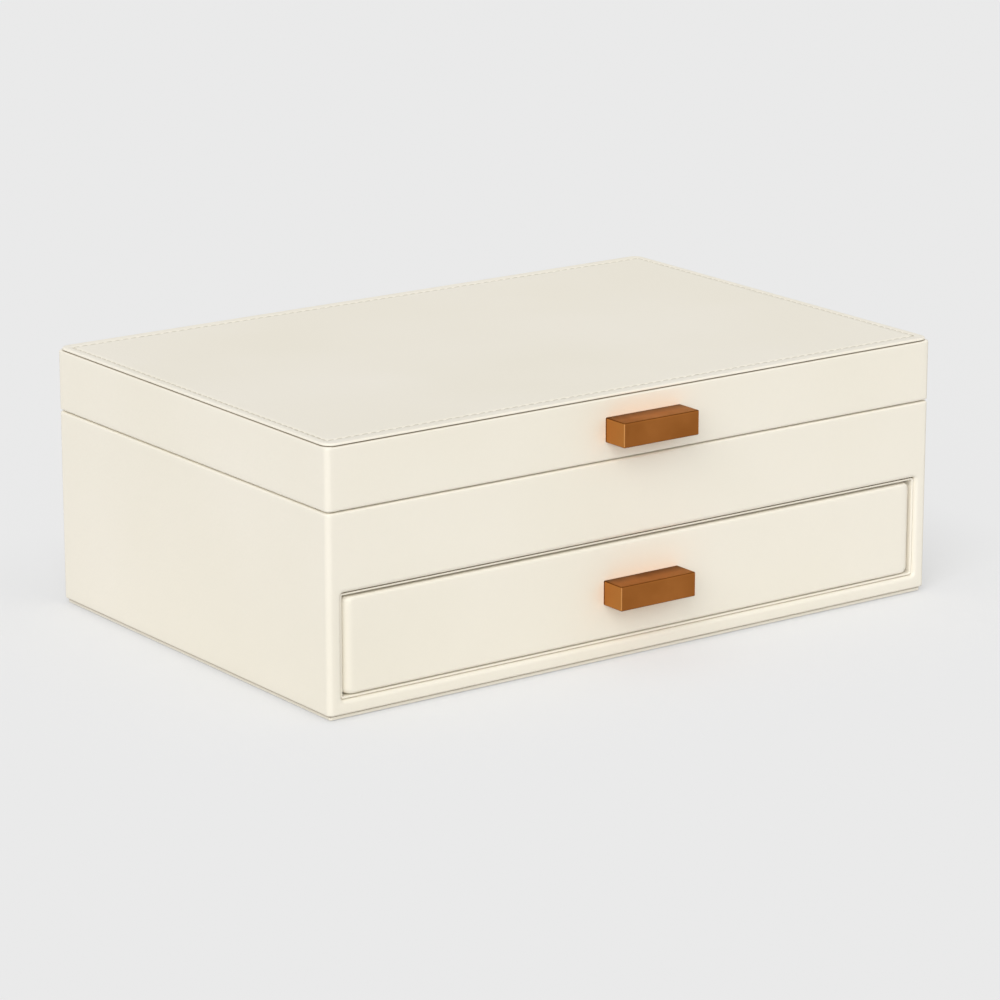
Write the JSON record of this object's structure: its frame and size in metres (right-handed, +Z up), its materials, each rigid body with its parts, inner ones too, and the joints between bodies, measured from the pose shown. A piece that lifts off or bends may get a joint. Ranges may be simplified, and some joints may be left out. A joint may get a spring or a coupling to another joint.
{
  "type": "ring box with drawer",
  "caption": "Rectangular cream ring box in stitched faux leather, with a hinged lid over a tray of ring rolls and one inset drawer, both with square bronze-toned bar pulls.",
  "frame": {"origin": "middle of the underside, on the surface that the box stands on", "axes": "+X across the box to the right seen from the front, +Y from the front to the back, +Z up"},
  "size_m": [0.282, 0.2026, 0.1032],
  "materials": {
    "faux_leather": "smooth cream faux leather with a low satin sheen",
    "fibreboard": "raw medium-density fibreboard",
    "suede_lining": "soft beige suede-like lining",
    "roll_velvet": "beige velvet over foam",
    "felt": "thin felt on the underside",
    "bronze_pull": "satin bronze-brown brushed bar",
    "hinge_brass": "satin brass sheet",
    "screw_steel": "brass-plated steel"
  },
  "bodies": {
    "case": {"base_felt": "felt", "base_plate": "faux_leather", "bottom_board": "fibreboard", "side_board_left": "fibreboard", "side_board_right": "fibreboard", "back_board": "fibreboard", "front_rail": "fibreboard", "shelf_board": "fibreboard", "case_wrap": "faux_leather", "bay_lining": "faux_leather", "tray_floor_pad": "suede_lining", "rim_liner_front": "suede_lining", "rim_liner_back": "suede_lining", "rim_liner_left": "suede_lining", "rim_liner_right": "suede_lining", "tray_divider": "suede_lining", "tray_cross_divider": "suede_lining", "ring_roll_1": "roll_velvet", "ring_roll_2": "roll_velvet", "ring_roll_3": "roll_velvet", "ring_roll_4": "roll_velvet", "ring_roll_5": "roll_velvet", "ring_roll_6": "roll_velvet", "ring_roll_7": "roll_velvet", "ring_roll_8": "roll_velvet", "hinge_left_case_leaf": "hinge_brass", "hinge_right_case_leaf": "hinge_brass", "hinge_left_pin": "hinge_brass", "hinge_right_pin": "hinge_brass", "case_hinge_screws": "screw_steel"},
    "lid": {"lid_top_board": "fibreboard", "lid_front_board": "fibreboard", "lid_back_board": "fibreboard", "lid_side_left": "fibreboard", "lid_side_right": "fibreboard", "lid_wrap": "faux_leather", "lid_top_panel": "faux_leather", "lid_wall_lining": "suede_lining", "lid_pad": "suede_lining", "lid_pull": "bronze_pull", "lid_pull_screws": "screw_steel", "hinge_left_lid_leaf": "hinge_brass", "hinge_right_lid_leaf": "hinge_brass", "lid_hinge_screws": "screw_steel"},
    "drawer": {"drawer_front_board": "fibreboard", "drawer_front_wrap": "faux_leather", "drawer_bottom": "fibreboard", "drawer_side_left": "fibreboard", "drawer_side_right": "fibreboard", "drawer_back": "fibreboard", "drawer_lining": "suede_lining", "drawer_divider_left": "suede_lining", "drawer_divider_right": "suede_lining", "drawer_cross_divider": "suede_lining", "drawer_pull": "bronze_pull", "drawer_pull_screws": "screw_steel"}
  },
  "joints": [
    {"name": "lid_hinge", "type": "hinge", "parent": "case", "child": "lid", "pos_m": [0, 0.09535, 0.07795], "axis": [-1, 0, 0], "range_deg": [0, 95]},
    {"name": "drawer_slide", "type": "slide", "parent": "case", "child": "drawer", "axis": [0, -1, 0], "range_m": [0, 0.135]}
  ]
}
